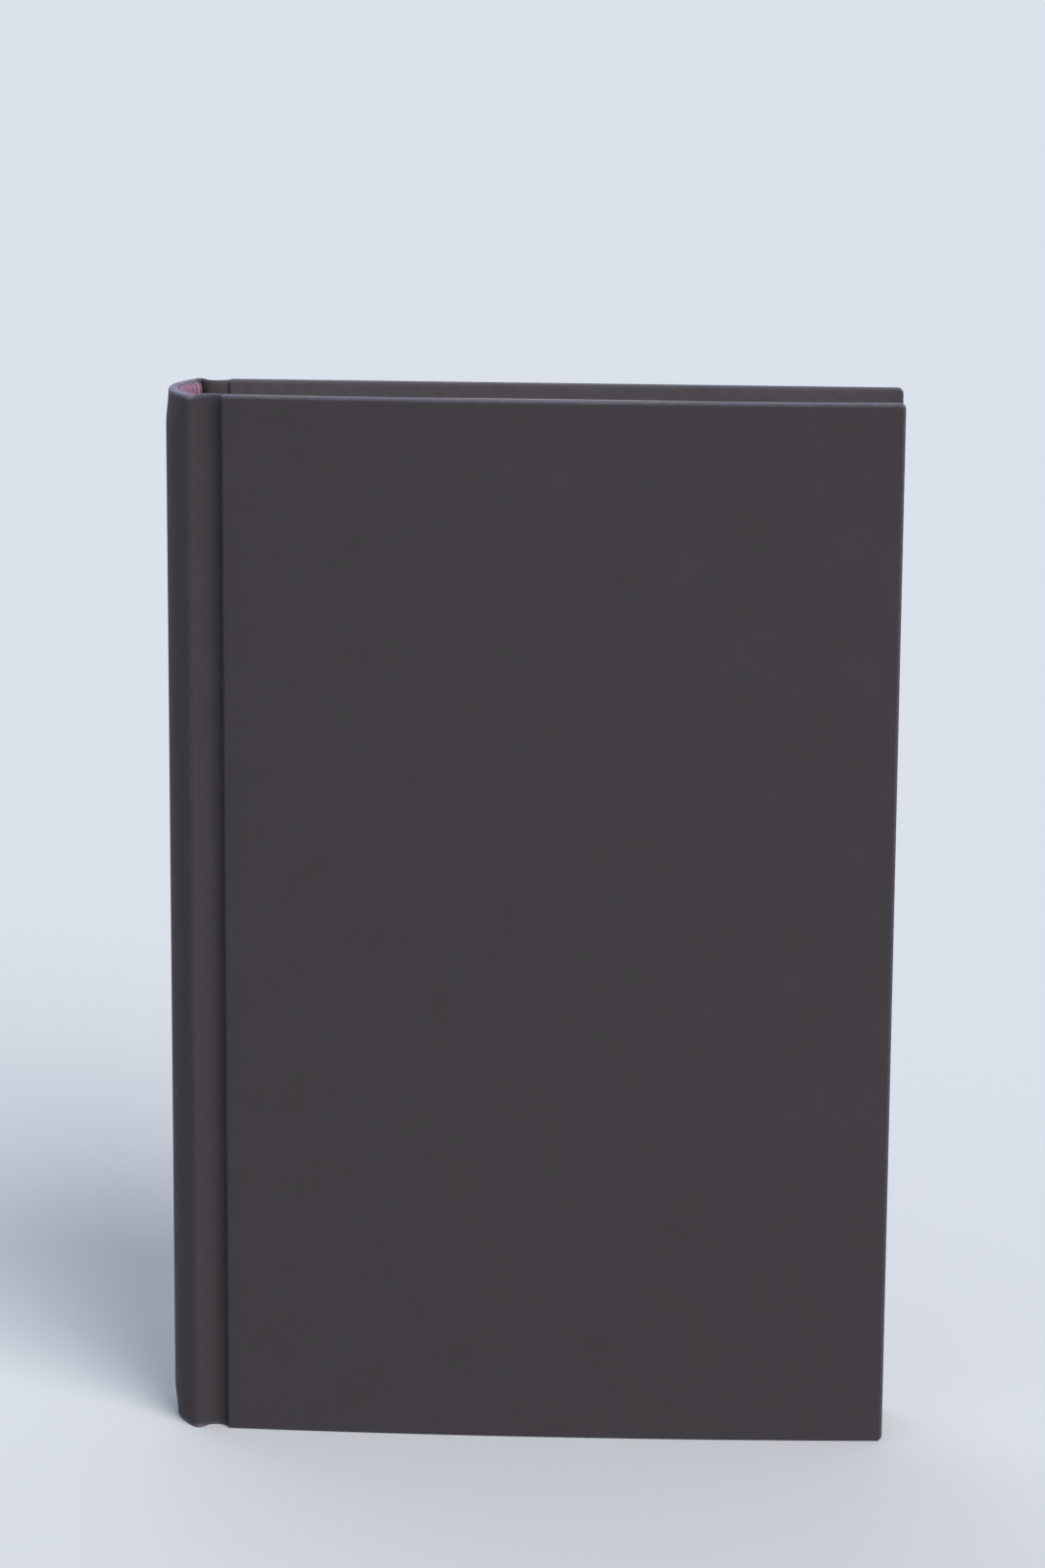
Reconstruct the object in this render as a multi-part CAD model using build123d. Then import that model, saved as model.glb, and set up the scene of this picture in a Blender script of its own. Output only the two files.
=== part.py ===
from build123d import *
import os
from math import sqrt

# A cloth-bound hardback book, standing upright on its tail, closed.
# It is laid out from the outermost line of the spine (X = 0) towards the fore-edge (+X), and
# from the front board's outer face at its edges (Y = 0) towards the back board (+Y), with Z up
# from the surface it stands on. export() moves each piece to the part's own frame.

# Overall sizes of the case, in millimetres
case_height = 235.0
case_width = 159.5
case_thickness = 22.2   # over both boards, at their edges
cover_bow = 1.8         # how far the front board bows outwards at its middle

# Materials
board = 2.2             # grey board inside each cover
cloth = 0.4             # book cloth, glued on
paper = 0.2             # endpaper, drawn a little thick
mull = 0.2              # open gauze glued over the spine and onto the boards
kraft = 0.2             # brown lining paper on the spine
inlay = 0.6             # card strip that stiffens the spine of the case

# The case
square = 3.2            # how far the covers stand out past the pages
turn_in = 15.0          # width of cloth turned over each board edge
edge_round = 0.8        # rounding of the cloth over the board's outer edges
flap_width = 25.0       # mull glued to each board, measured from the joint
flap_short = 20.0       # the mull stops this far short of the head and tail

# The rounded spine and the French grooves beside it
spine_reach = 6.2       # from the spine's outermost line to its crests
crest_drop = 0.1        # the crests lie this much below the faces of the boards
groove_wall = 7.0       # outer side of the cloth that goes down into the groove
crest_round = 0.6       # rounding at the top of that wall
joint_width = 5.3       # cloth strip at the bottom of the groove, between its two folds
inlay_end = 5.0         # the card strip stops here, short of the crests
head_band_width = 2.2
head_band_height = 2.6  # above the pages

# The pages
fore_edge_hollow = 4.0  # depth of the concave fore-edge

# Clearances
body_gap = 0.3          # between pieces that move past each other
fold_gap = 0.1          # along the fold between the joint strip and the cover
hollow = 0.2            # open back between the case and the lined spine

# Worked out from the sizes above
joint_thickness = 2 * cloth
cover_thickness = cloth + board + cloth + paper
fold_depth = cover_thickness - joint_thickness
wall_fold = groove_wall + body_gap
cover_fold = wall_fold + joint_width
cover_edge = cover_fold + body_gap
fore_edge = case_width - square
block_low = square
block_high = case_height - square
flyleaf_depth = cover_thickness + body_gap
page_depth = flyleaf_depth + paper
spine_half = case_thickness / 2 - crest_drop
spine_radius = (spine_half**2 + spine_reach**2) / (2 * spine_reach)
spine_center = (spine_radius, case_thickness / 2)
inlay_radius = spine_radius - cloth
lip_radius = inlay_radius - inlay
lining_radius = lip_radius - cloth - hollow
mull_radius = lining_radius - kraft
page_radius = mull_radius - mull
shoulder = groove_wall - cloth
bow_half = (case_width - cover_fold) / 2
bow_center = cover_fold + bow_half
bow_radius = (bow_half**2 + cover_bow**2) / (2 * cover_bow)
BIG = 4 * case_height


def surface(side, depth, x):
    """Y of the surface that lies this deep under the outer face of the front or back cover."""
    if side == "back":
        return case_thickness - depth
    return bow_radius - cover_bow - sqrt((bow_radius - depth) ** 2 - (x - bow_center) ** 2)


def surface_line(side, depth, left, right):
    """The same surface as a line in plan, straight on the back and bowed on the front."""
    middle = (left + right) / 2
    ends = [(x, surface(side, depth, x)) for x in (left, middle, right)]
    if side == "back":
        return Line(ends[0], ends[2])
    return ThreePointArc(*ends)


def layer(side, near, far, left, right, low, high):
    """A sheet between two depths under a cover's outer face."""
    outer = surface_line(side, near, left, right)
    inner = surface_line(side, far, left, right)
    plan = make_face([outer, Line(outer @ 1, inner @ 1), inner, Line(inner @ 0, outer @ 0)])
    return raise_up(plan, low, high)


def strip(side, near, far, left, right, low, high):
    """A flat sheet in the groove, between two depths under the level of the board's edges."""
    y = [near, far] if side == "front" else [case_thickness - far, case_thickness - near]
    plan = Pos((left + right) / 2, (y[0] + y[1]) / 2) * Rectangle(right - left, y[1] - y[0])
    return raise_up(plan, low, high)


def raise_up(plan, low, high):
    return Pos(0, 0, low) * extrude(plan, high - low, dir=(0, 0, 1))


def left_of(x):
    return Pos(x - BIG / 2, spine_center[1]) * Rectangle(BIG, BIG)


def spine_disc(radius, end):
    """Everything within a radius of the spine's centre and left of a line."""
    return Pos(*spine_center) * Circle(radius) & left_of(end)


def spine_sheet(outer, inner, end, low, high):
    """A curved sheet that follows the rounded spine."""
    return raise_up(spine_disc(outer, end) - spine_disc(inner, end), low, high)


# Pages and what is glued to them

def make_text_block():
    front = surface_line("front", page_depth, shoulder, fore_edge)
    back = surface_line("back", page_depth, shoulder, fore_edge)
    middle = ((front @ 1).Y + (back @ 1).Y) / 2
    hollowed = ThreePointArc(front @ 1, (fore_edge - fore_edge_hollow, middle), back @ 1)
    pages = make_face([front, hollowed, back, Line(back @ 0, front @ 0)])
    return raise_up(pages + spine_disc(page_radius, shoulder), block_low, block_high)


def make_flyleaf(side):
    return layer(side, flyleaf_depth, page_depth, wall_fold, fore_edge, block_low, block_high)


def make_spine_mull():
    return spine_sheet(mull_radius, page_radius, shoulder, flap_short, case_height - flap_short)


def make_spine_liner():
    return spine_sheet(lining_radius, mull_radius, shoulder, block_low, block_high)


def make_band(end):
    """A woven band at the head or tail, with a round bead above a flat foot."""
    bead = head_band_width / 2
    foot = Pos(0, (head_band_height - bead) / 2) * Rectangle(head_band_width, head_band_height - bead)
    section = foot + Pos(0, head_band_height - bead) * Circle(bead)
    # drawn in the plane through the spine's centre, then turned both ways round it
    start = page_radius - bead
    profile = Plane.XZ * Pos(-start, 0) * section
    reach = spine_center[0] - shoulder
    swing = 90 - Vector(reach, sqrt(page_radius**2 - reach**2)).get_angle(Vector(0, 1))
    band = revolve(Rot(0, 0, -swing) * profile, Axis.Z, 2 * swing)
    if end == "tail":
        band = Pos(*spine_center, block_low) * mirror(band, Plane.XY)
    else:
        band = Pos(*spine_center, block_high) * band
    return band & raise_up(left_of(shoulder), 0, case_height)


# The case

def make_spine_inlay():
    return spine_sheet(inlay_radius, lip_radius, inlay_end, cloth, case_height - cloth)


def make_spine_cloth():
    """Cloth round the spine, over both crests and down the inner walls of the grooves."""
    outline = spine_disc(spine_radius, groove_wall)
    outline = fillet(outline.vertices().group_by(Axis.X)[-1], crest_round)
    skin = outline - offset(outline, -cloth)
    wall_foot = fold_depth + cloth
    inside = Pos(groove_wall, spine_center[1]) * Rectangle(3 * cloth, case_thickness - 2 * wall_foot)
    cover = raise_up(skin - inside, 0, case_height)
    # the cloth turns over the card at the head and tail and runs back inside
    lip_inner = lip_radius - cloth
    cover += spine_sheet(inlay_radius, lip_inner, inlay_end, 0, cloth)
    cover += spine_sheet(inlay_radius, lip_inner, inlay_end, case_height - cloth, case_height)
    cover += spine_sheet(lip_radius, lip_inner, inlay_end, 0, turn_in)
    cover += spine_sheet(lip_radius, lip_inner, inlay_end, case_height - turn_in, case_height)
    return cover


def make_joint_cloth(side):
    """The strip of cloth at the bottom of a groove, with its turn-ins at head and tail."""
    edges = (wall_fold, cover_fold)
    sheet = strip(side, fold_depth, fold_depth + cloth, *edges, 0, case_height)
    sheet += strip(side, fold_depth + cloth, cover_thickness, *edges, 0, turn_in)
    head = case_height - turn_in
    sheet += strip(side, fold_depth + cloth, cover_thickness, *edges, head, case_height)
    return sheet


def make_joint_liner(side):
    """Mull and endpaper behind the cloth strip."""
    depths = (fold_depth + cloth, cover_thickness)
    return strip(side, *depths, wall_fold, cover_fold, turn_in, case_height - turn_in)


def make_board(side):
    return layer(
        side, cloth, cloth + board, cover_edge + cloth, case_width - cloth, cloth, case_height - cloth
    )


def make_mull_flap(side):
    near = cloth + board
    left = cover_edge + cloth
    return layer(side, near, near + mull, left, left + flap_width, flap_short, case_height - flap_short)


def make_cover_cloth(side):
    """Cloth over a board's face and edges, turned in at the head, tail and fore-edge."""
    inner_face = cloth + board
    outside = layer(side, 0, inner_face + cloth, cover_edge, case_width, 0, case_height)
    face = outside.faces().sort_by(Axis.Y)[0 if side == "front" else -1]
    outside = fillet(face.edges(), edge_round)
    window_right = case_width - turn_in
    window = layer(
        side, inner_face, 2 * cover_thickness, 0, window_right, turn_in, case_height - turn_in
    )
    foot = layer(side, fold_depth, inner_face, cover_fold + fold_gap, cover_edge, 0, case_height)
    return outside + foot - make_board(side) - window


def make_pastedown(side):
    """The glued half of the endpaper, which steps over the mull and the turned-in cloth."""
    near = cloth + board
    left = cover_fold + fold_gap
    sheet = layer(side, near, cover_thickness, left, fore_edge, block_low, block_high)
    sheet -= make_cover_cloth(side)
    sheet -= make_mull_flap(side)
    flap_right = cover_edge + cloth + flap_width
    inset = turn_in + paper
    low, high = inset, case_height - inset
    sheet -= layer(side, near + paper, 2 * near, flap_right + paper, case_width - inset, low, high)
    sheet -= layer(side, near + mull + paper, 2 * near, 0, flap_right + paper, low, high)
    return sheet


pieces = {
    "text_block": make_text_block(),
    "spine_mull": make_spine_mull(),
    "spine_liner": make_spine_liner(),
    "head_band": make_band("head"),
    "tail_band": make_band("tail"),
    "spine_inlay": make_spine_inlay(),
    "spine_cloth": make_spine_cloth(),
}
for side in ("front", "back"):
    pieces[f"{side}_flyleaf"] = make_flyleaf(side)
    pieces[f"{side}_joint_cloth"] = make_joint_cloth(side)
    pieces[f"{side}_joint_liner"] = make_joint_liner(side)
    pieces[f"{side}_board"] = make_board(side)
    pieces[f"{side}_mull_flap"] = make_mull_flap(side)
    pieces[f"{side}_cover_cloth"] = make_cover_cloth(side)
    pieces[f"{side}_pastedown"] = make_pastedown(side)

# The part's origin is under the middle of its bounding box, which the bowed front board widens.
to_origin = Pos(-case_width / 2, (cover_bow - case_thickness) / 2, 0)
os.makedirs("parts", exist_ok=True)
for name, piece in pieces.items():
    export_step(to_origin * piece, f"parts/{name}.step")

print("folds", [round(x - case_width / 2, 3) for x in (wall_fold, cover_fold)])
front_fold = fold_depth + (cover_bow - case_thickness) / 2
back_fold = case_thickness - fold_depth + (cover_bow - case_thickness) / 2
print("fold depth, front and back", round(front_fold, 3), round(back_fold, 3))
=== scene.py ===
import math
import random

import bmesh
import bpy
from mathutils import Matrix, Vector, noise


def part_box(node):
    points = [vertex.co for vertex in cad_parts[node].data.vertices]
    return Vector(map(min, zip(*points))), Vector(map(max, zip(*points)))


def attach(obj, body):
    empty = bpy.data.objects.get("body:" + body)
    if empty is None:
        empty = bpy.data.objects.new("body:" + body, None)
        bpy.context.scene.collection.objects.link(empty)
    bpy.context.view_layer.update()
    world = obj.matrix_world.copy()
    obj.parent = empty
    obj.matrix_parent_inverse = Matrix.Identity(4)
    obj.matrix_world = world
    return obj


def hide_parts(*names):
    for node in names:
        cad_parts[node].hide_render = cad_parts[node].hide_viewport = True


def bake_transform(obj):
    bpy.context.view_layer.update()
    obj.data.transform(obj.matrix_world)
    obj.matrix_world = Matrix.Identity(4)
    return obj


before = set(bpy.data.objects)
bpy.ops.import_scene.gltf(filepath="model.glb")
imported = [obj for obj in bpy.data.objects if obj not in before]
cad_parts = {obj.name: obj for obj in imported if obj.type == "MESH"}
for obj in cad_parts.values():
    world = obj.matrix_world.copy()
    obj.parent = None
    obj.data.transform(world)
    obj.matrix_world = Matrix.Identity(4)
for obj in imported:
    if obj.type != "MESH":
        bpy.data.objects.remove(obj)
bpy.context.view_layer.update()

mm = 0.001
sides = ("front", "back")


# Measures read from the frame

def edge(node, end, axis):
    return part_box(node)[end][axis]


spineX = edge("spine_cloth", 0, 0)
foreEdgeX = edge("back_cover_cloth", 1, 0)
boardX = edge("back_board", 0, 0)
caseHeight = edge("back_cover_cloth", 1, 2)
backFaceY = edge("back_cover_cloth", 1, 1)
jointInnerX = edge("back_joint_cloth", 0, 0)
jointOuterX = edge("back_joint_cloth", 1, 0)
jointDepth = backFaceY - edge("back_joint_cloth", 1, 1)
frontFaceY = edge("front_joint_cloth", 0, 1) - jointDepth  # the front cover's face where it isn't bowed
caseThickness = backFaceY - frontFaceY
coverBow = frontFaceY - edge("front_cover_cloth", 0, 1)  # the front board is sprung outwards
clothThick = 0.4 * mm
boardEdgeX = boardX - clothThick                         # the cloth over the board's inner edge
bowMiddle = (jointOuterX + foreEdgeX) / 2
bowHalf = (foreEdgeX - jointOuterX) / 2
pagesLow, pagesHigh = edge("text_block", 0, 2), edge("text_block", 1, 2)
pagesX = edge("text_block", 1, 0)
spineMiddleY = (frontFaceY + backFaceY) / 2
midJointX = (jointInnerX + jointOuterX) / 2


def bowAt(x):
    reach = (x - bowMiddle) / bowHalf
    return coverBow * max(0.0, 1 - reach * reach)


def sideY(side, depth, x, bowed=True):                   # depth is counted in from the cover's outer face
    if side == "back":
        return backFaceY - depth
    return frontFaceY + depth - (bowAt(x) if bowed else 0.0)


def smooth(low, high, value):
    t = min(1.0, max(0.0, (value - low) / (high - low)))
    return t * t * (3 - 2 * t)


# Materials

def hexColour(text):                                     # sRGB hex to linear
    channels = [int(text[i:i + 2], 16) / 255 for i in (1, 3, 5)]
    return [c / 12.92 if c <= 0.04045 else ((c + 0.055) / 1.055) ** 2.4 for c in channels] + [1.0]


# an input is a value, a socket, or a node, which stands for its first output
def addNode(tree, kind, inputs=None, **settings):
    node = tree.nodes.new(kind)
    for name, value in settings.items():
        setattr(node, name, value)
    for socket, value in (inputs or {}).items():
        if isinstance(value, bpy.types.Node):
            value = value.outputs[0]
        if isinstance(value, bpy.types.NodeSocket):
            tree.links.new(value, node.inputs[socket])
        else:
            node.inputs[socket].default_value = value
    return node


def newMaterial(name):
    material = bpy.data.materials.new(name)
    material.use_nodes = True
    tree = material.node_tree
    tree.nodes.clear()
    shader = addNode(tree, "ShaderNodeBsdfPrincipled")
    addNode(tree, "ShaderNodeOutputMaterial", {"Surface": shader})
    return material, tree, shader


# what every surface of the book has: a colour, a fine relief and a roughness
def finishSurface(tree, shader, colour, height, look):
    inputs = {"Height": height, "Strength": look["reliefStrength"], "Distance": look["relief"]}
    bump = addNode(tree, "ShaderNodeBump", inputs)
    tree.links.new(colour, shader.inputs["Base Color"])
    tree.links.new(bump.outputs[0], shader.inputs["Normal"])
    shader.inputs["Roughness"].default_value = look["roughness"]


clothLook = {
    "gap": "#363235",            # between the threads: painted shade in the weave's hollows
    "thread": "#484449",         # top of a thread
    "wornAndHighlight": "#737083",           # rubbed fibres along the edges, and painted highlight where edges and the spine's ends face the light from above
    "tones": (0.45, 1.6),        # heights that show the gap's colour and the thread's
    "threadPitch": 0.45 * mm,    # about 22 threads to the centimetre
    "threadFlat": 0.35,          # how little a thread dips along its length
    "slubLength": 5 * mm,
    "slubShare": 0.2,
    "stray": 0.5 * mm,           # how far a thread wanders from its line
    "strayLength": 4 * mm,
    "mottle": 14 * mm,
    "mottleShare": 0.6,
    "wearAndHighlightPatch": 2.2 * mm,
    "wearAndHighlightShare": 0.75,
    "relief": 0.09 * mm,
    "reliefStrength": 0.45,
    "roughness": 0.86,
    "specular": 0.35,
    "sheen": 0.12,
}


# dyed cotton book cloth, plain woven and filled: matt, with a fine grain, painted shade between its threads,
# and lighter fibres that stand for wear and painted highlight
def makeBookCloth(look):
    material, tree, shader = newMaterial("bookClothPlainWoven")
    way = addNode(tree, "ShaderNodeUVMap", uv_map="clothWay")
    inputs = {"Vector": way, "Scale": 1 / look["strayLength"], "Detail": 2.0}
    stray = addNode(tree, "ShaderNodeTexNoise", inputs)
    inputs = {0: stray.outputs[1], 1: (look["stray"],) * 3, 2: way}
    pushed = addNode(tree, "ShaderNodeVectorMath", inputs, operation="MULTIPLY_ADD")
    across = addNode(tree, "ShaderNodeSeparateXYZ", {0: pushed}).outputs
    ridges = []
    for part in (across[0], across[1]):
        inputs = {0: part, 1: math.pi / look["threadPitch"]}
        turn = addNode(tree, "ShaderNodeMath", inputs, operation="MULTIPLY")
        ridges.append(addNode(tree, "ShaderNodeMath", {0: turn}, operation="SINE"))
    over = addNode(tree, "ShaderNodeMath", {0: ridges[0], 1: ridges[1]}, operation="MULTIPLY")
    warp, weft = [addNode(tree, "ShaderNodeMath", {0: ridge}, operation="ABSOLUTE") for ridge in ridges]
    heights = []
    for arch, along in ((warp, weft), (weft, warp)):     # a thread is round across and nearly level along
        level = addNode(tree, "ShaderNodeMath", {0: along, 1: look["threadFlat"]}, operation="POWER")
        heights.append(addNode(tree, "ShaderNodeMath", {0: arch, 1: level}, operation="MULTIPLY"))
    which = addNode(tree, "ShaderNodeMath", {0: over, 1: 0.0}, operation="GREATER_THAN")
    weave = addNode(tree, "ShaderNodeMix", {0: which, 2: heights[1], 3: heights[0]}, data_type="FLOAT")
    slubs = []
    fine, long = 1 / look["threadPitch"], 1 / look["slubLength"]
    for scale in ((fine, long, 1), (long, fine, 1)):
        spot = addNode(tree, "ShaderNodeMapping", {"Vector": way, "Scale": scale})
        slubs.append(addNode(tree, "ShaderNodeTexNoise", {"Vector": spot, "Scale": 1.0, "Detail": 3.0}))
    slub = addNode(tree, "ShaderNodeMath", {0: slubs[0], 1: slubs[1]}, operation="ADD")
    inputs = {"Vector": way, "Scale": 1 / look["mottle"], "Detail": 6.0, "Roughness": 0.6}
    mottle = addNode(tree, "ShaderNodeTexNoise", inputs)
    inputs = {0: slub, 1: look["slubShare"], 2: weave}
    uneven = addNode(tree, "ShaderNodeMath", inputs, operation="MULTIPLY_ADD")
    inputs = {0: mottle, 1: look["mottleShare"], 2: uneven}
    tone = addNode(tree, "ShaderNodeMath", inputs, operation="MULTIPLY_ADD")
    # low places of the weave take the darker gap colour, painted shade between the threads; slubs and mottle
    # vary the tone at random
    share = addNode(tree, "ShaderNodeMapRange", {0: tone, 1: look["tones"][0], 2: look["tones"][1]})
    inputs = {0: share, 6: hexColour(look["gap"]), 7: hexColour(look["thread"])}
    dyed = addNode(tree, "ShaderNodeMix", inputs, data_type="RGBA").outputs[2]
    # lighter, bluish fibres where the mask is set: part real wear, part painted highlight from the light
    # above
    wearAndHighlight = addNode(tree, "ShaderNodeAttribute", attribute_name="wearAndHighlight").outputs["Fac"]
    inputs = {"Vector": way, "Scale": 1 / look["wearAndHighlightPatch"], "Detail": 5.0}
    patch = addNode(tree, "ShaderNodeTexNoise", inputs)
    patchyWearAndHighlight = addNode(tree, "ShaderNodeMath", {0: wearAndHighlight, 1: patch}, operation="MULTIPLY")
    shown = addNode(tree, "ShaderNodeMath", {0: patchyWearAndHighlight, 1: look["wearAndHighlightShare"]}, operation="MULTIPLY")
    inputs = {0: shown, 6: dyed, 7: hexColour(look["wornAndHighlight"])}
    colour = addNode(tree, "ShaderNodeMix", inputs, data_type="RGBA").outputs[2]
    finishSurface(tree, shader, colour, uneven, look)
    shader.inputs["Specular IOR Level"].default_value = look["specular"]
    shader.inputs["Sheen Weight"].default_value = look["sheen"]
    shader.inputs["Sheen Roughness"].default_value = 0.5
    return material


paperLook = {
    "sheet": "#e8e3d8",
    "shade": "#e4dfd3",
    "tones": (0.5, 1.1),
    "fibre": 0.7 * mm,
    "fibreShare": 0.6,
    "cloud": 22 * mm,
    "relief": 0.03 * mm,
    "reliefStrength": 0.25,
    "roughness": 0.9,
}


# uncoated off-white endpaper, wove: matt, with cloudy formation
def makeEndpaper(look):
    material, tree, shader = newMaterial("endpaperUncoatedWove")
    place = addNode(tree, "ShaderNodeTexCoord").outputs["Object"]
    inputs = {"Vector": place, "Scale": 1 / look["cloud"], "Detail": 5.0}
    cloud = addNode(tree, "ShaderNodeTexNoise", inputs)
    inputs = {"Vector": place, "Scale": 1 / look["fibre"], "Detail": 6.0, "Roughness": 0.7}
    fibre = addNode(tree, "ShaderNodeTexNoise", inputs)
    inputs = {0: fibre, 1: look["fibreShare"], 2: cloud}
    mix = addNode(tree, "ShaderNodeMath", inputs, operation="MULTIPLY_ADD")
    share = addNode(tree, "ShaderNodeMapRange", {0: mix, 1: look["tones"][0], 2: look["tones"][1]})
    inputs = {0: share, 6: hexColour(look["shade"]), 7: hexColour(look["sheet"])}
    colour = addNode(tree, "ShaderNodeMix", inputs, data_type="RGBA").outputs[2]
    finishSurface(tree, shader, colour, fibre, look)
    return material


pageLook = {
    "edge": "#e5decf",
    "line": "#bbb09a",
    "tones": (0.42, 0.95),
    "band": 0.5 * mm,            # thickness of the bands of sheets that the eye makes out
    "drift": 40 * mm,
    "gapShadeShare": 0.5,
    "relief": 0.05 * mm,
    "reliefStrength": 0.3,
    "roughness": 0.92,
}


# uncoated book paper cut in a guillotine: cream, with fine sheet lines: bands of tone at random, and painted
# shade in the gaps between sheets
def makeTrimmedPages(look):
    material, tree, shader = newMaterial("bookPaperGuillotined")
    place = addNode(tree, "ShaderNodeTexCoord").outputs["Object"]
    scale = (1 / look["drift"], 1 / look["band"], 1 / look["drift"])
    sheets = addNode(tree, "ShaderNodeMapping", {"Vector": place, "Scale": scale})
    inputs = {"Vector": sheets, "Scale": 1.0, "Detail": 6.0, "Roughness": 0.75}
    lines = addNode(tree, "ShaderNodeTexNoise", inputs)
    # the rings sunk between sheets take the darker line colour: painted shade in the gaps
    gap = addNode(tree, "ShaderNodeAttribute", attribute_name="gap").outputs["Fac"]
    inputs = {0: gap, 1: look["gapShadeShare"], 2: lines}
    depth = addNode(tree, "ShaderNodeMath", inputs, operation="MULTIPLY_ADD")
    share = addNode(tree, "ShaderNodeMapRange", {0: depth, 1: look["tones"][0], 2: look["tones"][1]})
    inputs = {0: share, 6: hexColour(look["edge"]), 7: hexColour(look["line"])}
    colour = addNode(tree, "ShaderNodeMix", inputs, data_type="RGBA").outputs[2]
    finishSurface(tree, shader, colour, lines, look)
    return material


threadLook = {
    "light": "#9a7088",
    "dark": "#6c4c62",
    "twist": 0.25 * mm,
    "strandShare": 0.35,
    "relief": 0.03 * mm,
    "reliefStrength": 0.3,
    "roughness": 0.55,
    "sheen": 0.1,
}


# spun rayon thread wound over a cord: a soft satin shine
def makeBandThread(look):
    material, tree, shader = newMaterial("headBandRayonWound")
    place = addNode(tree, "ShaderNodeTexCoord").outputs["Object"]
    pick = addNode(tree, "ShaderNodeAttribute", attribute_name="darkThread").outputs["Fac"]
    inputs = {"Vector": place, "Scale": 1 / look["twist"], "Detail": 3.0}
    strand = addNode(tree, "ShaderNodeTexNoise", inputs)
    inputs = {0: strand, 1: look["strandShare"], 2: pick}
    share = addNode(tree, "ShaderNodeMath", inputs, operation="MULTIPLY_ADD")
    inputs = {0: share, 6: hexColour(look["light"]), 7: hexColour(look["dark"])}
    colour = addNode(tree, "ShaderNodeMix", inputs, data_type="RGBA").outputs[2]
    finishSurface(tree, shader, colour, strand, look)
    shader.inputs["Sheen Weight"].default_value = look["sheen"]
    return material


# pieces inside the case
hiddenLooks = {
    "mullGauzeStarched": {"light": "#ded6c2", "dark": "#c9bfa8", "grain": 0.9 * mm, "roughness": 0.95},
    "kraftLiningGlued": {"light": "#a98a62", "dark": "#937551", "grain": 0.6 * mm, "roughness": 0.9},
    "greyBoardMilled": {"light": "#86837c", "dark": "#726f68", "grain": 0.8 * mm, "roughness": 0.95},
}
hiddenRelief = {"relief": 0.05 * mm, "reliefStrength": 0.4}


# fibrous sheet goods, matt and a little uneven
def makeGrained(name, look):
    material, tree, shader = newMaterial(name)
    place = addNode(tree, "ShaderNodeTexCoord").outputs["Object"]
    inputs = {"Vector": place, "Scale": 1 / look["grain"], "Detail": 5.0, "Roughness": 0.7}
    speck = addNode(tree, "ShaderNodeTexNoise", inputs)
    inputs = {0: speck, 6: hexColour(look["dark"]), 7: hexColour(look["light"])}
    colour = addNode(tree, "ShaderNodeMix", inputs, data_type="RGBA").outputs[2]
    finishSurface(tree, shader, colour, speck, {**look, **hiddenRelief})
    return material


bookCloth = makeBookCloth(clothLook)
endpaper = makeEndpaper(paperLook)
trimmedPages = makeTrimmedPages(pageLook)
bandThread = makeBandThread(threadLook)
hidden = {name: makeGrained(name, look) for name, look in hiddenLooks.items()}
print("materials made")


# Mesh helpers

def newPiece(name, points, faces, material, uvs=None, marks=None, flat=False):
    mesh = bpy.data.meshes.new(name)
    mesh.from_pydata([tuple(p) for p in points], [], faces)
    if uvs:
        layer = mesh.uv_layers.new(name="clothWay")
        for polygon, corners in zip(mesh.polygons, uvs):
            for loop, uv in zip(polygon.loop_indices, corners):
                layer.data[loop].uv = uv
    for label, values in (marks or {}).items():
        mesh.attributes.new(label, "FLOAT", "POINT").data.foreach_set("value", values)
    work = bmesh.new()
    work.from_mesh(mesh)
    bmesh.ops.recalc_face_normals(work, faces=work.faces)
    work.to_mesh(mesh)
    work.free()
    mesh.polygons.foreach_set("use_smooth", [not flat] * len(mesh.polygons))
    mesh.set_sharp_from_angle(angle=math.radians(35))
    mesh.materials.append(material)
    piece = bpy.data.objects.new(name, mesh)
    bpy.context.scene.collection.objects.link(piece)
    return piece


# grid lines that make an even quarter round at both ends
def roundLines(low, high, radius, between):
    steps = [radius * math.tan(math.radians(a)) for a in (0, 11.25, 22.5, 33.75, 45)]
    lines = [low + s for s in steps] + [high - s for s in reversed(steps)]
    lines += [v for v in between if low + radius * 1.05 < v < high - radius * 1.05]
    return sorted(lines)


def evenly(low, high, count):
    return [low + (high - low) * i / count for i in range(count + 1)]


# Cloth over each board

coverWrap = {
    "depth": 3.0 * mm,           # outer face to the inner side of the turned-in cloth
    "rounding": 0.65 * mm,
    "turnIn": 15 * mm,
    "recess": 0.38 * mm,         # the board shows this far below the turn-ins
    "ripple": 0.07 * mm,         # glued cloth is never quite flat
    "rippleLength": (31 * mm, 43 * mm),
    "fineLength": 6 * mm,
    "fineShare": 0.4,
    "insideShare": 0.3,          # the edges and the inner face lie flatter
    "seeds": {"front": (3.0, 5.0), "back": (9.0, 2.0)},
    "stepHalf": 0.5 * mm,        # half the width of the step from turned-in cloth to board
    "mitre": 0.16 * mm,
    # width of the band along the edges that takes the lighter colour: wear and a painted highlight line
    "wearAndHighlightWidth": 0.8 * mm,
    "cornerRound": 1.2 * mm,     # cloth folded over a board's corner rounds it
}


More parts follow.
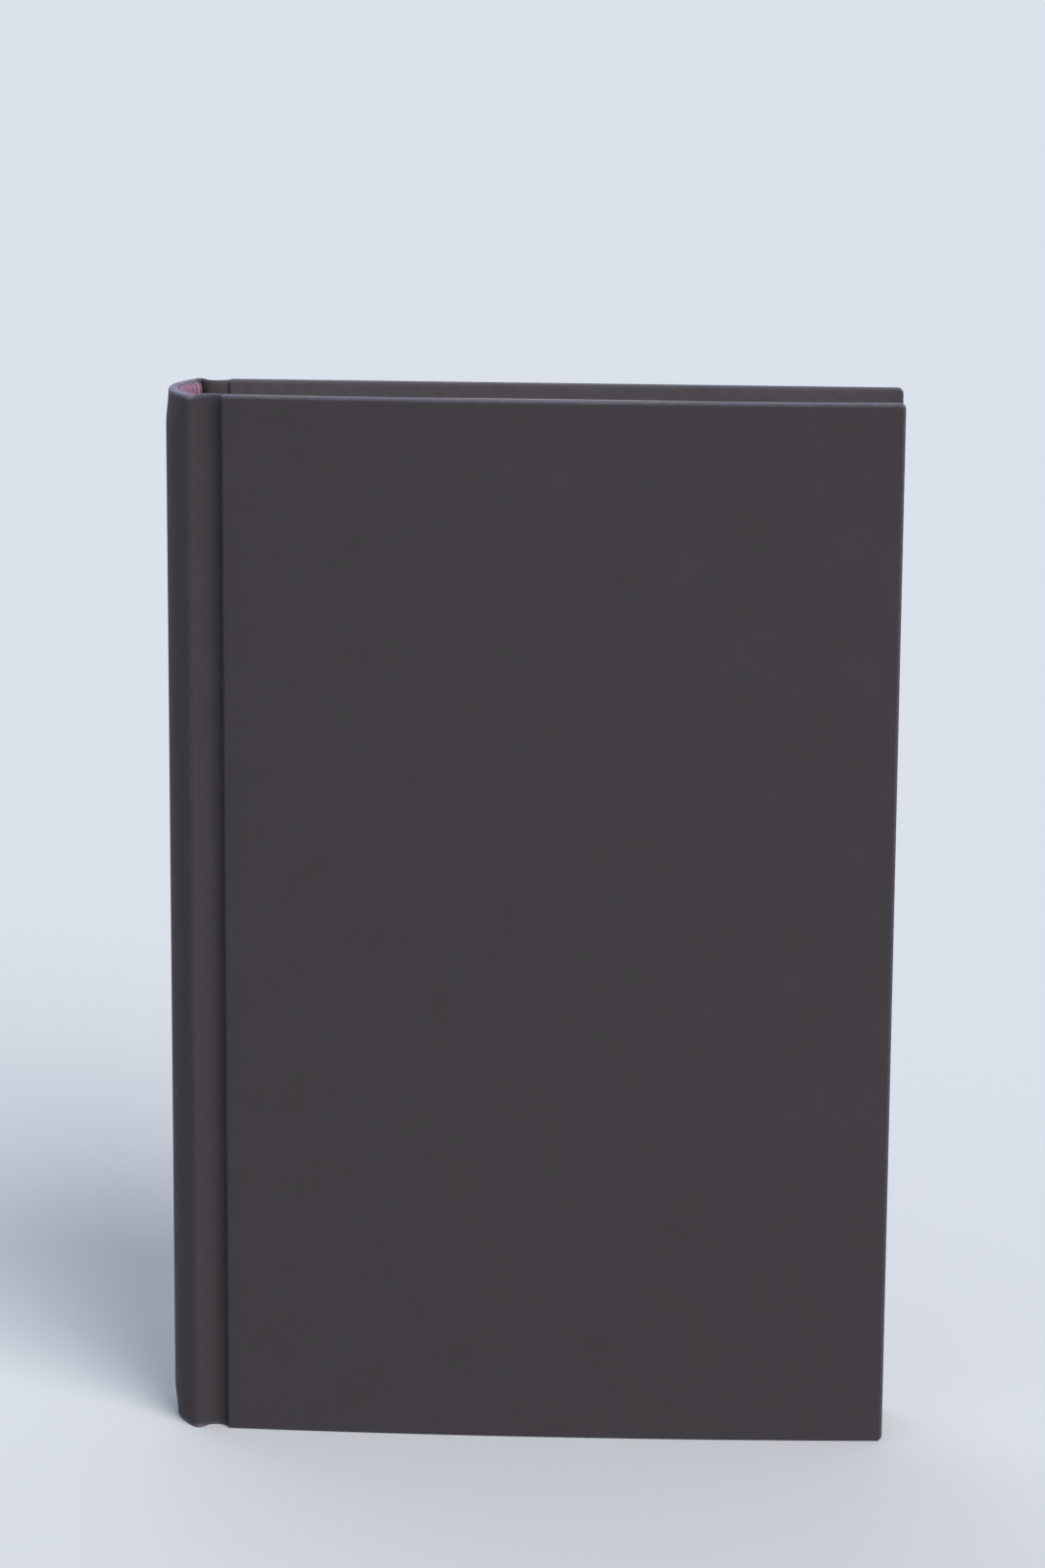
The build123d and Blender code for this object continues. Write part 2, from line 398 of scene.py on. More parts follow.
def wrapBoard(side, wrap):
    radius = wrap["rounding"]
    low = (boardEdgeX, 0.0, 0.0)
    high = (foreEdgeX, wrap["depth"], caseHeight)
    # lines beside the edges, past the rounding, for the mitres
    near = [0.4, 0.8, 1.3, 1.9, 2.6, 3.4, 5.0]
    xLines = evenly(low[0], high[0], 24) + [high[0] - radius - s * mm for s in near]
    zLines = evenly(0, caseHeight, 36)
    zLines += [radius + s * mm for s in near] + [caseHeight - radius - s * mm for s in near]
    for shift in (-wrap["stepHalf"], 0, wrap["stepHalf"]):
        xLines.append(high[0] - wrap["turnIn"] + shift)
        zLines += [wrap["turnIn"] + shift, caseHeight - wrap["turnIn"] + shift]
    lines = [roundLines(low[0], high[0], radius, xLines),
             roundLines(low[1], high[1], radius, []),
             roundLines(low[2], high[2], radius, zLines)]
    last = [len(line) - 1 for line in lines]
    seed, fineSeed = wrap["seeds"][side]
    index, points, wearAndHighlight, flat = {}, [], [], []

    def corner(i, j, k):
        if (i, j, k) in index:
            return index[i, j, k]
        raw = Vector((lines[0][i], lines[1][j], lines[2][k]))
        core = Vector([min(max(raw[a], low[a] + radius), high[a] - radius) for a in range(3)])
        away = raw - core
        spot = core + away.normalized() * radius if away.length > 0 else raw
        x, depth, z = spot
        fromEdge = min(high[0] - x, z, caseHeight - z)
        if j == last[1]:                                 # inside: the board shows, and the corners are mitred
            inside = smooth(wrap["turnIn"] - wrap["stepHalf"], wrap["turnIn"] + wrap["stepHalf"], fromEdge)
            depth -= wrap["recess"] * inside
            if abs((high[0] - x) - min(z, caseHeight - z)) < 0.02 * mm and fromEdge > 0.3 * mm:
                depth -= wrap["mitre"] * (1 - inside)
        cornerX = high[0] - wrap["cornerRound"]
        cornerZ = min(max(z, wrap["cornerRound"]), caseHeight - wrap["cornerRound"])
        outwards = Vector((x - cornerX, z - cornerZ))
        if outwards.x > 0 and outwards.y != 0:           # squares round the corner's middle become circles
            outwards *= max(outwards.x, abs(outwards.y)) / outwards.length
            x, z = cornerX + outwards.x, cornerZ + outwards.y
        wave = noise.noise(Vector((x / wrap["rippleLength"][0], z / wrap["rippleLength"][1], seed)))
        fineWave = noise.noise(Vector((x / wrap["fineLength"], z / wrap["fineLength"], fineSeed)))
        share = 1 if j == 0 else wrap["insideShare"]
        depth += wrap["ripple"] * (wave + wrap["fineShare"] * fineWave) * share
        index[i, j, k] = len(points)
        points.append((x, sideY(side, depth, x), z))
        # lighter colour near the edges: wear and a painted highlight line where the rounded edges face the
        # light; the inner faces get a little of it everywhere
        wearAndHighlight.append(1 - smooth(0.1 * mm, wrap["wearAndHighlightWidth"], max(fromEdge, 0)) if depth < 2 * mm else 0.3)
        flat.append((raw.x, raw.y, raw.z))
        return index[i, j, k]

    faces, uvs = [], []
    for axis in range(3):
        a, b = [n for n in range(3) if n != axis]
        for end in (0, last[axis]):
            for i in range(last[a]):
                for k in range(last[b]):
                    cell = []
                    for di, dk in ((0, 0), (1, 0), (1, 1), (0, 1)):
                        place = [0, 0, 0]
                        place[axis], place[a], place[b] = end, i + di, k + dk
                        cell.append(corner(*place))
                    faces.append(cell)
                    sign = 1 if end else -1
                    shiftX = sign if axis == 0 else 0
                    shiftZ = sign if axis == 2 else 0
                    spots = [flat[c] for c in cell]
                    uvs.append([(x + shiftX * depth, z + shiftZ * depth) for x, depth, z in spots])
    return newPiece(f"{side}CoverCloth", points, faces, bookCloth, uvs, {"wearAndHighlight": wearAndHighlight})


# Ribbons: cloth or paper that follows a line in plan from tail to head

ribbonEdge = {"rounding": 0.45 * mm}


# path holds (x, y) along the outer surface, and the sheet lies on the other side where thickAt is negative
def sweepRibbon(name, path, low, high, material, thickAt, shiftAt=None, wearAndHighlightAt=None, zLines=()):
    count = len(path)
    points, wearAndHighlight, rings, ways = [], [], [], []
    travelled = 0.0
    for n, (x, y) in enumerate(path):
        ahead = Vector(path[min(n + 1, count - 1)]) - Vector(path[max(n - 1, 0)])
        inward = Vector((ahead.y, -ahead.x)).normalized()
        travelled += (Vector(path[n]) - Vector(path[n - 1])).length if n else 0.0
        thick = abs(thickAt(n))
        inwards = 1 if thickAt(n) > 0 else -1
        radius = min(0.45 * thick, ribbonEdge["rounding"])
        head = []                                        # distances in from the outer side and from the end
        for middle, angles in ((radius, (-90, -60, -30, 0)), (thick - radius, (0, 30, 60, 90))):
            for turn in map(math.radians, angles):
                head.append((middle + radius * math.sin(turn), radius - radius * math.cos(turn)))
        loop = [(inset, high - drop) for inset, drop in head]
        loop += [(thick, z) for z in sorted(zLines, reverse=True)]
        loop += [(inset, low + drop) for inset, drop in reversed(head)]
        loop += [(0.0, z) for z in sorted(zLines)]
        ring = []
        for inset, z in loop:
            shift = shiftAt(n, z) if shiftAt else 0.0
            ring.append(len(points))
            depth = inwards * inset + shift
            points.append((x + inward.x * depth, y + inward.y * depth, z))
            nearEnd = min(z - low, high - z)
            onOutside = 1 - 0.5 * inset / thick
            wearAndHighlight.append(wearAndHighlightAt(n, nearEnd) * onOutside if wearAndHighlightAt else 0.0)
            ways.append((travelled, z + (inset if z > caseHeight / 2 else -inset)))
        rings.append(ring)
    faces = []
    size = len(rings[0])
    for one, two in zip(rings, rings[1:]):
        for k in range(size):
            faces.append([one[k], one[(k + 1) % size], two[(k + 1) % size], two[k]])
    for ring in (rings[0], rings[-1]):                   # close both ends with a ladder of faces
        i, j = 0, size - 1
        while j - i > 1:
            rung = [ring[j - 1], ring[j]] if j - i > 2 else [ring[j]]
            faces.append([ring[i], ring[i + 1]] + rung)
            i, j = i + 1, j - 1
    uvs = [[ways[c] for c in face] for face in faces]
    return newPiece(name, points, faces, material, uvs, {"wearAndHighlight": wearAndHighlight})


# a smooth line through a few points, evenly divided, whose slope at each end comes from one point more
def roundCurve(corners, count, before, after):
    line = [before] + corners + [after]
    out = []
    for n in range(len(corners) - 1):
        p = [Vector(spot) for spot in line[n:n + 4]]
        for i in range(count):
            t = i / count
            spot = (p[1] * 2 + (p[2] - p[0]) * t + (p[0] * 2 - p[1] * 5 + p[2] * 4 - p[3]) * t * t
                    + (p[1] * 3 - p[0] - p[2] * 3 + p[3]) * t * t * t) / 2
            out.append(tuple(spot))
    return out + [tuple(corners[-1])]


# Cloth round the spine and in the grooves

spineWrap = {
    "crestRound": 1.8 * mm,
    "crestX": 6.2 * mm,          # the outermost line of the spine to the top of each crest
    "crestDrop": 0.1 * mm,
    "foldThick": 0.6 * mm,
    "spineThick": 2.1 * mm,      # cloth, card and turned-in cloth
    "cardEnd": 5.0 * mm,
    "capPull": 0.6 * mm,         # the ends of the spine are drawn in over the bands
    "capLength": 8 * mm,
    "endWearAndHighlight": 4.0,               # the ends of the spine are handled most; the lighter colour there is also painted highlight from the light above
    # a faint painted highlight along the crests
    "crestHighlight": 0.08,
    "arcSteps": 26,
}


# the arc through both crests
crestHalf = caseThickness / 2 - spineWrap["crestDrop"]
spineRadius = (crestHalf ** 2 + spineWrap["crestX"] ** 2) / (2 * spineWrap["crestX"])


# from the top of the front crest round to the back one
def spinePath(wrap):
    small, crestX = wrap["crestRound"], spineX + wrap["crestX"]
    upright = crestHalf - small                          # from the spine's middle to that of a crest's round
    radius = (upright ** 2 + wrap["crestX"] ** 2 - small ** 2) / (2 * (wrap["crestX"] - small))
    centreX = spineX + radius
    meet = math.pi - math.atan2(upright, centreX - crestX)   # where the crest's round meets the spine's
    front = []
    for n in range(9):
        turn = math.pi / 2 + (meet - math.pi / 2) * n / 8
        front.append((crestX + small * math.cos(turn), spineMiddleY - upright - small * math.sin(turn)))
    for n in range(1, wrap["arcSteps"] + 1):
        turn = meet + (math.pi - meet) * n / wrap["arcSteps"]
        front.append((centreX + radius * math.cos(turn), spineMiddleY - radius * math.sin(turn)))
    return front + [(x, 2 * spineMiddleY - y) for x, y in reversed(front[:-1])]


def wrapSpine(wrap):
    path = spinePath(wrap)

    def thickAt(n):
        inner = smooth(wrap["cardEnd"] + 0.7 * mm, wrap["cardEnd"] - 0.7 * mm, path[n][0] - spineX)
        return wrap["foldThick"] + (wrap["spineThick"] - wrap["foldThick"]) * inner

    def shiftAt(n, z):
        fromEnd = min(z, caseHeight - z)
        nearEnd = 1 - smooth(0, wrap["capLength"], fromEnd)
        away = smooth(wrap["crestX"], 0.25 * wrap["crestX"], path[n][0] - spineX)
        return wrap["capPull"] * nearEnd * away

    # lighter colour at the spine's ends and along its crests: wear and painted highlight
    def wearAndHighlightAt(n, fromEnd):
        onCrest = smooth(0.55, 1.0, (path[n][0] - spineX) / wrap["crestX"])
        return max(wrap["endWearAndHighlight"] * (1 - smooth(0, 1.2 * mm, fromEnd)), wrap["crestHighlight"] * onCrest)

    zLines = [s * mm for s in (1, 1.6, 2.3, 3, 4, 5, 6.5, 8, 12)]
    zLines = zLines + evenly(0, caseHeight, 14)[1:-1] + [caseHeight - z for z in zLines]
    return sweepRibbon("spineCloth", path, 0, caseHeight, bookCloth, thickAt, shiftAt, wearAndHighlightAt, zLines)


grooveCloth = {                  # (from the outermost line of the spine, depth), in millimetres
    "spineHalf": [(6.85, 0.24), (7.45, 0.8), (8.1, 1.6), (8.8, 2.25)],
    "middleDepth": 2.5,
    "boardHalf": [(10.8, 2.46), (11.6, 2.26), (12.25, 1.9), (12.75, 1.45)],
    "boardEnd": 1.05,
    "boardAfter": (13.4, 0.5),   # carries the slope on under the board's rounded edge
    "thick": 0.6 * mm,
    "divide": 6,
    # lighter colour at the groove's ends: wear and painted highlight from the light above
    "endWearAndHighlight": 1.4,
}


def layGrooveCloth(side, groove, half):
    crest = (spineWrap["crestX"] / mm, spineWrap["crestDrop"] / mm)
    middle = ((midJointX - spineX) / mm, groove["middleDepth"])
    if half == "spineHalf":
        corners = [crest] + groove[half] + [middle]
        before, after = (2 * crest[0] - groove[half][0][0], groove[half][0][1]), groove["boardHalf"][0]
    else:
        corners = [middle] + groove[half] + [((boardEdgeX - spineX) / mm + 0.02, groove["boardEnd"])]
        before, after = groove["spineHalf"][-1], groove["boardAfter"]
    curve = roundCurve(corners, groove["divide"], before, after)
    path = [(spineX + x * mm, sideY(side, depth * mm, 0, False)) for x, depth in curve]
    if side == "front":
        path.reverse()
    ends = [s * mm for s in (0.7, 1.2, 1.8)]
    zLines = ends + evenly(0, caseHeight, 14)[1:-1] + [caseHeight - z for z in ends]
    name = f"{side}GrooveCloth{'Spine' if half == 'spineHalf' else 'Board'}Half"

    # lighter colour at the ends and near the crest: wear and painted highlight
    def wearAndHighlightAt(n, fromEnd):
        nearCrest = 1 - smooth(0, 1.6 * mm, path[n][0] - spineX - spineWrap["crestX"])
        atEnd = groove["endWearAndHighlight"] + (spineWrap["endWearAndHighlight"] - groove["endWearAndHighlight"]) * nearCrest
        return max(atEnd * (1 - smooth(0, 1.2 * mm, fromEnd)), spineWrap["crestHighlight"] * nearCrest)

    def thickAt(n):
        return groove["thick"]

    return sweepRibbon(name, path, 0, caseHeight, bookCloth, thickAt, None, wearAndHighlightAt, zLines)


# Endpapers

endpaperFold = {
    "thick": 0.16 * mm,
    "grooveDepth": 3.12 * mm,    # outer side of the paper behind the groove cloth
    "leafDepth": 3.62 * mm,      # where it becomes the flyleaf
    "foldX": 7.5 * mm,
    "leafX": 8.6 * mm,
    "overTurnIn": 3.16 * mm,
    "overFlap": 3.0 * mm,
    "overBoard": 2.86 * mm,
    "step": 0.7 * mm,
}


# from the flyleaf round the fold to the middle of the groove
def foldEndpaper(side, fold):
    turnDepth = (fold["grooveDepth"] + fold["leafDepth"]) / 2
    radius = (fold["leafDepth"] - fold["grooveDepth"]) / 2
    turnX = spineX + fold["foldX"] + radius
    line = [(spineX + fold["leafX"], fold["leafDepth"] + 0.1 * mm), (turnX, fold["leafDepth"])]
    for n in range(1, 8):
        turn = math.pi * n / 8
        line.append((turnX - radius * math.sin(turn), turnDepth + radius * math.cos(turn)))
    line += [(x, fold["grooveDepth"]) for x in evenly(turnX, midJointX, 5)]
    path = [(x, sideY(side, depth, 0, False)) for x, depth in line]
    if side == "back":
        path.reverse()
    zLines = evenly(pagesLow, pagesHigh, 6)[1:-1]

    def thickAt(n):
        return -fold["thick"]

    return sweepRibbon(f"{side}EndpaperFold", path, pagesLow, pagesHigh, endpaper, thickAt, zLines=zLines)


# from the middle of the groove over the inside of the cover
def pasteEndpaper(side, fold):
    turnIn, step = coverWrap["turnIn"], fold["step"]
    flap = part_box(f"{side}_mull_flap")
    bendEnd = jointOuterX + 1.5 * mm
    xLines = evenly(midJointX, bendEnd, 30) + evenly(bendEnd, pagesX, 22)[1:]
    zLines = evenly(pagesLow, pagesHigh, 28)
    for spot in (foreEdgeX - turnIn, flap[1][0]):
        xLines += [spot + s * step for s in (-1, -0.5, 0, 0.5, 1)]
    for spot in (turnIn, caseHeight - turnIn, flap[0][2], flap[1][2]):
        zLines += [spot + s * step for s in (-1, -0.5, 0, 0.5, 1)]
    xLines, zLines = sorted(xLines), sorted(zLines)

    def innerDepth(x, z):
        fromEdge = min(foreEdgeX - x, z, caseHeight - z)
        onTurnIn = 1 - smooth(turnIn - step, turnIn + step, fromEdge)
        onFlap = smooth(flap[0][2] - step, flap[0][2] + step, z)
        onFlap *= smooth(flap[1][2] + step, flap[1][2] - step, z)
        onFlap *= smooth(flap[1][0] + step, flap[1][0] - step, x)
        depth = fold["overBoard"] + (fold["overFlap"] - fold["overBoard"]) * onFlap
        depth += (fold["overTurnIn"] - depth) * onTurnIn
        inGroove = 1 - smooth(jointOuterX, jointOuterX + 1.4 * mm, x)
        depth += (fold["grooveDepth"] + fold["thick"] - depth) * inGroove
        wrinkle = noise.noise(Vector((x / 0.02, z / 0.035, 7.0 if side == "front" else 1.0)))
        return depth + 0.03 * mm * wrinkle * (1 - inGroove)

    points, index = [], {}
    for face in (0, 1):
        for i, x in enumerate(xLines):
            for k, z in enumerate(zLines):
                index[face, i, k] = len(points)
                points.append((x, sideY(side, innerDepth(x, z) - face * fold["thick"], x), z))
    faces = []
    lastX, lastZ = len(xLines) - 1, len(zLines) - 1
    for face in (0, 1):
        for i in range(lastX):
            for k in range(lastZ):
                cell = ((i, k), (i + 1, k), (i + 1, k + 1), (i, k + 1))
                faces.append([index[(face, *corner)] for corner in cell])
    rim = [(i, 0) for i in range(lastX)] + [(lastX, k) for k in range(lastZ)]
    rim += [(i, lastZ) for i in range(lastX, 0, -1)] + [(0, k) for k in range(lastZ, 0, -1)]
    for one, two in zip(rim, rim[1:] + rim[:1]):
        faces.append([index[(0, *one)], index[(0, *two)], index[(1, *two)], index[(1, *one)]])
    return newPiece(f"{side}Pastedown", points, faces, endpaper)


# Pages

pageStack = {
    "sheets": 96,
    "gap": 0.07 * mm,            # how far the eye sees in between two sheets
    "uneven": 0.045 * mm,        # sheets slide a little after trimming
    "depth": 3.72 * mm,          # first page under the cover's outer face
    "hollow": 4.0 * mm,          # depth of the hollow fore-edge
    "spineHalf": 8.6 * mm,       # half the thickness at the rounded spine
    "shoulderX": (6.5 * mm, 8.2 * mm),
    "spineDepth": 2.0 * mm,      # from the outermost line of the spine to the pages
    "seed": 12,
}


def stackPages(stack):
    random.seed(stack["seed"])
    radius = spineRadius - stack["spineDepth"]
    centreX = spineX + spineRadius
    frontFlat, backFlat = frontFaceY + stack["depth"], backFaceY - stack["depth"]
    levels = []
    for n in range(stack["sheets"]):
        slide = [random.uniform(-1, 0) * stack["uneven"] for _ in range(3)]
        for part, inset in ((0.02, stack["gap"]), (0.28, 0.0), (0.72, 0.0), (0.98, stack["gap"])):
            levels.append(((n + part) / stack["sheets"] * 2 - 1, inset, slide))
    along = [0, 0.01, 0.02, 0.03, 0.045] + evenly(0.07, 1, 12)
    across = evenly(0, 1, 6)
    points, gap, loops = [], [], []
    for share, inset, slide in levels:
        atSpine = spineMiddleY + share * stack["spineHalf"]
        back = centreX - math.sqrt(radius ** 2 - (atSpine - spineMiddleY) ** 2) + inset
        front = pagesX - stack["hollow"] * (1 - share * share) - inset + slide[0]
        top, bottom = pagesHigh - inset + slide[1], pagesLow + inset - slide[2]

        def place(u, z):
            x = back + (front - back) * u
            low = frontFlat - bowAt(x)
            flat = low + (backFlat - low) * (share + 1) / 2
            body = smooth(spineX + stack["shoulderX"][0], spineX + stack["shoulderX"][1], x)
            return (x, atSpine + (flat - atSpine) * body, z)

        ring = [place(u, top) for u in along]
        ring += [place(1, top + (bottom - top) * t) for t in across[1:-1]]
        ring += [place(u, bottom) for u in reversed(along)]
        ring += [place(0, bottom + (top - bottom) * t) for t in across[1:-1]]
        loops.append([len(points) + k for k in range(len(ring))])
        points += ring
        # marks the rings sunk between sheets, which the material darkens as painted shade
        gap += [inset / stack["gap"]] * len(ring)
    faces = []
    size = len(loops[0])
    for one, two in zip(loops, loops[1:]):
        for k in range(size):
            faces.append([one[k], one[(k + 1) % size], two[(k + 1) % size], two[k]])
    turn = len(along) + len(across) - 2
    for ring in (loops[0], loops[-1]):                   # first and last page, from head to tail
        head = ring[:len(along)]
        tail = list(reversed(ring[turn:turn + len(along)]))
        foreEdge = ring[len(along):turn]
        spine = list(reversed(ring[turn + len(along):]))
        for k in range(1, len(along) - 2):
            faces.append([head[k], head[k + 1], tail[k + 1], tail[k]])
        faces.append([head[0], head[1], tail[1], tail[0]] + list(reversed(spine)))
        faces.append([head[-2], head[-1]] + foreEdge + [tail[-1], tail[-2]])
    return newPiece("pages", points, faces, trimmedPages, None, {"gap": gap}, flat=True)


# Head and tail bands

bandWinding = {
    "spacing": 0.34 * mm,
    "threadRadius": 0.19 * mm,
    "width": 2.0 * mm,
    "height": 2.72 * mm,
    "rounding": 0.98 * mm,
    "cordDepth": 1.25 * mm,      # from the band's outermost line to the middle of its cord
    "darkEvery": 4,              # threads in a round of light and dark ones, half of them dark
}


# threads wound side by side round the band's cord
def windBand(name, core, baseZ, upward, wind):
    low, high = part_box(core)
    centreX = spineX + spineRadius
    arcRadius = centreX - low.x - wind["cordDepth"]
    reach = math.acos((centreX - high.x + 0.25 * mm) / arcRadius) if high.x < centreX else 1.0
    tree = bpy.data.node_groups.new(name + "Winding", "GeometryNodeTree")
    tree.interface.new_socket("Geometry", in_out="OUTPUT", socket_type="NodeSocketGeometry")
    sockets = {}
    values = {
        "Thread spacing": wind["spacing"],
        "Thread radius": wind["threadRadius"],
        "Band width": wind["width"],
        "Band height": wind["height"],
        "Corner rounding": wind["rounding"],
        "Curve radius": arcRadius,
        "Half sweep": reach,
    }
    for label in values:
        sockets[label] = tree.interface.new_socket(label, in_out="INPUT", socket_type="NodeSocketFloat")
    given = addNode(tree, "NodeGroupInput").outputs
    start = addNode(tree, "ShaderNodeMath", {0: math.pi, 1: given["Half sweep"]}, operation="SUBTRACT")
    sweep = addNode(tree, "ShaderNodeMath", {0: given["Half sweep"], 1: 2.0}, operation="MULTIPLY")
    inputs = {"Resolution": 64, "Radius": given["Curve radius"], "Start Angle": start, "Sweep Angle": sweep}
    arc = addNode(tree, "GeometryNodeCurveArc", inputs, mode="RADIUS")
    inputs = {"Curve": arc, "Length": given["Thread spacing"]}
    line = addNode(tree, "GeometryNodeResampleCurve", inputs, mode="LENGTH")
    inputs = {"Width": given["Band width"], "Height": given["Band height"]}
    loop = addNode(tree, "GeometryNodeCurvePrimitiveQuadrilateral", inputs)
    inputs = {"Curve": loop, "Count": 4, "Radius": given["Corner rounding"]}
    rounded = addNode(tree, "GeometryNodeFilletCurve", inputs, mode="POLY")
    inputs = {"Resolution": 6, "Radius": given["Thread radius"]}
    section = addNode(tree, "GeometryNodeCurvePrimitiveCircle", inputs)
    thread = addNode(tree, "GeometryNodeCurveToMesh", {"Curve": rounded, "Profile Curve": section})
    tangent = addNode(tree, "GeometryNodeInputTangent")
    along = addNode(tree, "ShaderNodeSeparateXYZ", {0: tangent}).outputs
    heading = addNode(tree, "ShaderNodeMath", {0: along[1], 1: along[0]}, operation="ARCTAN2")
    quarter = addNode(tree, "ShaderNodeMath", {0: heading, 1: math.pi / 2}, operation="ADD")
    turn = addNode(tree, "ShaderNodeCombineXYZ", {0: math.pi / 2, 2: quarter})
    inputs = {"Points": line, "Instance": thread, "Rotation": turn}
    wound = addNode(tree, "GeometryNodeInstanceOnPoints", inputs)
    number = addNode(tree, "GeometryNodeInputIndex")
    cycle = addNode(tree, "ShaderNodeMath", {0: number, 1: float(wind["darkEvery"])}, operation="MODULO")
    inputs = {0: cycle, 1: wind["darkEvery"] / 2 - 0.5}
    dark = addNode(tree, "ShaderNodeMath", inputs, operation="LESS_THAN")
    inputs = {"Geometry": wound, "Name": "darkThread", "Value": dark}
    marked = addNode(tree, "GeometryNodeStoreNamedAttribute", inputs, data_type="FLOAT", domain="INSTANCE")
    place = (centreX, spineMiddleY, baseZ + (1 if upward else -1) * wind["height"] / 2)
    moved = addNode(tree, "GeometryNodeTransform", {"Geometry": marked, "Translation": place})
    real = addNode(tree, "GeometryNodeRealizeInstances", {"Geometry": moved})
    finished = addNode(tree, "GeometryNodeSetMaterial", {"Geometry": real, "Material": bandThread})
    addNode(tree, "NodeGroupOutput", {0: finished})
    carrier = bpy.data.objects.new(name + "Carrier", bpy.data.meshes.new(name + "Carrier"))
    bpy.context.scene.collection.objects.link(carrier)
    modifier = carrier.modifiers.new("winding", "NODES")
    modifier.node_group = tree
    for label, value in values.items():
        modifier[sockets[label].identifier] = value
    evaluated = carrier.evaluated_get(bpy.context.evaluated_depsgraph_get())
    mesh = bpy.data.meshes.new_from_object(evaluated)
    carrier.modifiers.remove(modifier)
    bpy.data.objects.remove(carrier)
    piece = bpy.data.objects.new(name, mesh)
    bpy.context.scene.collection.objects.link(piece)
    mesh.polygons.foreach_set("use_smooth", [True] * len(mesh.polygons))
    return piece


# Assembly: the spine cloth, pages, bands and cover cloths ride on their bodies; the groove cloth and
# endpapers are baked in place

spineCloth = wrapSpine(spineWrap)
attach(spineCloth, "block")
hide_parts("spine_cloth", "spine_inlay")
print("spine wrapped")

pages = stackPages(pageStack)
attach(pages, "block")
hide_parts("text_block")
print("pages stacked")

bands = {
    "headBandThreads": ("head_band", pagesHigh, True),
    "tailBandThreads": ("tail_band", pagesLow, False),
}
for name, (core, baseZ, upward) in bands.items():
    band = windBand(name, core, baseZ, upward, bandWinding)
    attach(band, "block")
print("bands wound")

for side in sides:
    cover = wrapBoard(side, coverWrap)
    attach(cover, f"{side}_cover")
    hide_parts(f"{side}_cover_cloth")

    cloth = layGrooveCloth(side, grooveCloth, "spineHalf")
    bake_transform(cloth)
    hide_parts(f"{side}_joint_cloth")
    cloth = layGrooveCloth(side, grooveCloth, "boardHalf")
    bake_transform(cloth)
    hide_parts(f"{side}_joint_cloth")

    paper = foldEndpaper(side, endpaperFold)
    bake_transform(paper)
    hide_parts(f"{side}_joint_liner")
    paper = pasteEndpaper(side, endpaperFold)
    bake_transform(paper)
    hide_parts(f"{side}_pastedown", f"{side}_joint_liner")
    print(side, "cover, groove and endpaper made")

carried = {
    "front_flyleaf": endpaper, "back_flyleaf": endpaper, "head_band": bandThread, "tail_band": bandThread,
    "spine_mull": hidden["mullGauzeStarched"], "front_mull_flap": hidden["mullGauzeStarched"],
    "back_mull_flap": hidden["mullGauzeStarched"], "spine_liner": hidden["kraftLiningGlued"],
    "front_board": hidden["greyBoardMilled"], "back_board": hidden["greyBoardMilled"],
}
for node, material in carried.items():
    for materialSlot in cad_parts[node].material_slots:
        materialSlot.material = material
print("carried pieces finished")


# Floor, light and camera

studio = {
    "floor": "#cfd3d6",          # as the camera sees it
    "bounce": "#5a534e",         # what it throws back onto the book
    "floorSize": 9.0,
    "world": "#dbe3f5",
    "worldStrength": 0.64,
    "lamps": {                   # direction it comes from, softness in degrees, strength, colour
        "keyLamp": ((0.6, -0.85, 0.95), 36, 2.65, "#fffaf5"),
        "backLamp": ((-0.35, 0.9, 0.6), 60, 0.8, "#f4f6ff"),
    },
}
floorMaterial, tree, shader = newMaterial("studioPaperRoll")
lightPath = addNode(tree, "ShaderNodeLightPath").outputs
inputs = {0: lightPath["Is Camera Ray"], 1: lightPath["Is Glossy Ray"]}
seen = addNode(tree, "ShaderNodeMath", inputs, operation="MAXIMUM")
inputs = {0: seen, 1: lightPath["Is Transmission Ray"]}
seen = addNode(tree, "ShaderNodeMath", inputs, operation="MAXIMUM")
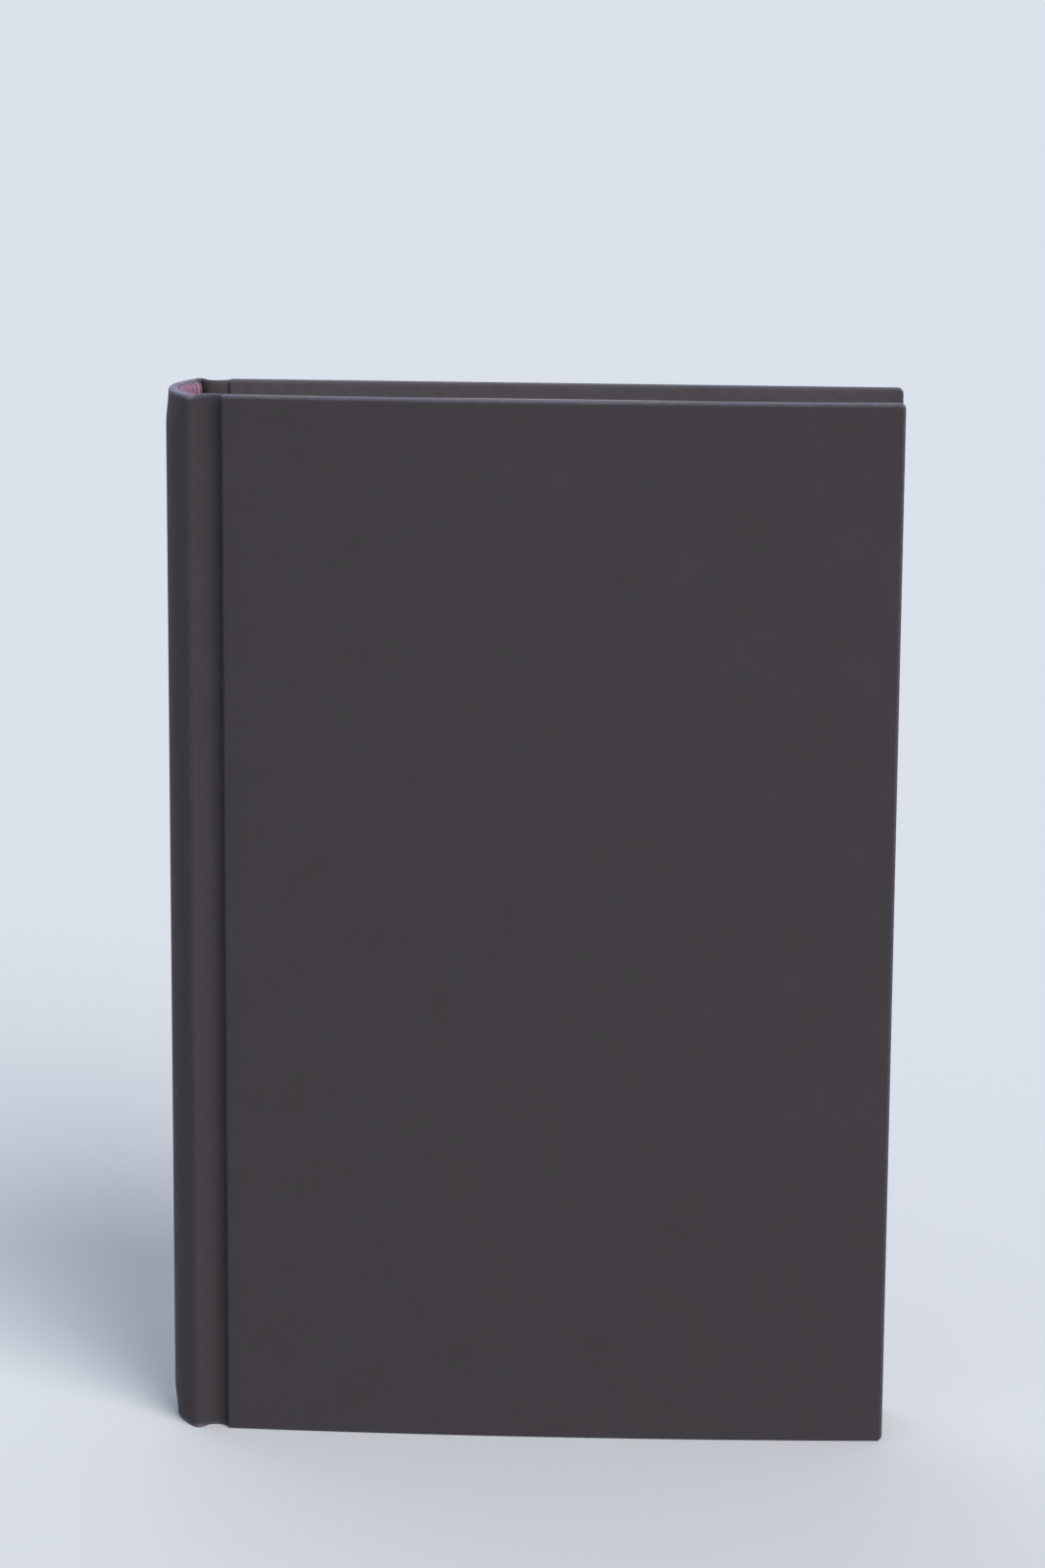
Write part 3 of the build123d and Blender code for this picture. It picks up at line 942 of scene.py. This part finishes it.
inputs = {0: seen, 6: hexColour(studio["bounce"]), 7: hexColour(studio["floor"])}
floorColour = addNode(tree, "ShaderNodeMix", inputs, data_type="RGBA").outputs[2]
tree.links.new(floorColour, shader.inputs["Base Color"])
shader.inputs["Roughness"].default_value = 0.95
shader.inputs["Specular IOR Level"].default_value = 0.0
size = studio["floorSize"]
corners = [(-size, -size, 0), (size, -size, 0), (size, size, 0), (-size, size, 0)]
floor = newPiece("floor", corners, [[0, 1, 2, 3]], floorMaterial)

world = bpy.data.worlds.new("studioWorld")
world.use_nodes = True
world.node_tree.nodes["Background"].inputs[0].default_value = hexColour(studio["world"])
world.node_tree.nodes["Background"].inputs[1].default_value = studio["worldStrength"]
bpy.context.scene.world = world
for name, (direction, softness, strength, tint) in studio["lamps"].items():
    lamp = bpy.data.lights.new(name, "SUN")
    lamp.angle, lamp.energy, lamp.color = math.radians(softness), strength, hexColour(tint)[:3]
    lampObject = bpy.data.objects.new(name, lamp)
    lampObject.location = direction
    lampObject.rotation_euler = (-Vector(direction)).to_track_quat("-Z", "Y").to_euler()
    bpy.context.scene.collection.objects.link(lampObject)

view = {
    "fromSpine": 121.0 * mm,     # place of the camera, from the outermost line of the spine
    "fromFront": -1137.0 * mm,   # and from the front cover's face
    "height": 434.0 * mm,
    "turn": -2.16,
    "tilt": 14.0,
    "roll": 0.38,
    "lens": 123.75,
}
camera = bpy.data.cameras.new("camera")
camera.lens = view["lens"]
camera.sensor_width = 36.0
camera.clip_end = 60.0
cameraObject = bpy.data.objects.new("camera", camera)
cameraObject.matrix_world = (
    Matrix.Translation((spineX + view["fromSpine"], frontFaceY + view["fromFront"], view["height"]))
    @ Matrix.Rotation(math.radians(-view["turn"]), 4, "Z")
    @ Matrix.Rotation(math.radians(90 - view["tilt"]), 4, "X")
    @ Matrix.Rotation(math.radians(view["roll"]), 4, "Z")
)
bpy.context.scene.collection.objects.link(cameraObject)
bpy.context.scene.camera = cameraObject
bpy.context.scene.view_settings.view_transform = "Standard"
print("studio ready")

bpy.context.view_layer.update()
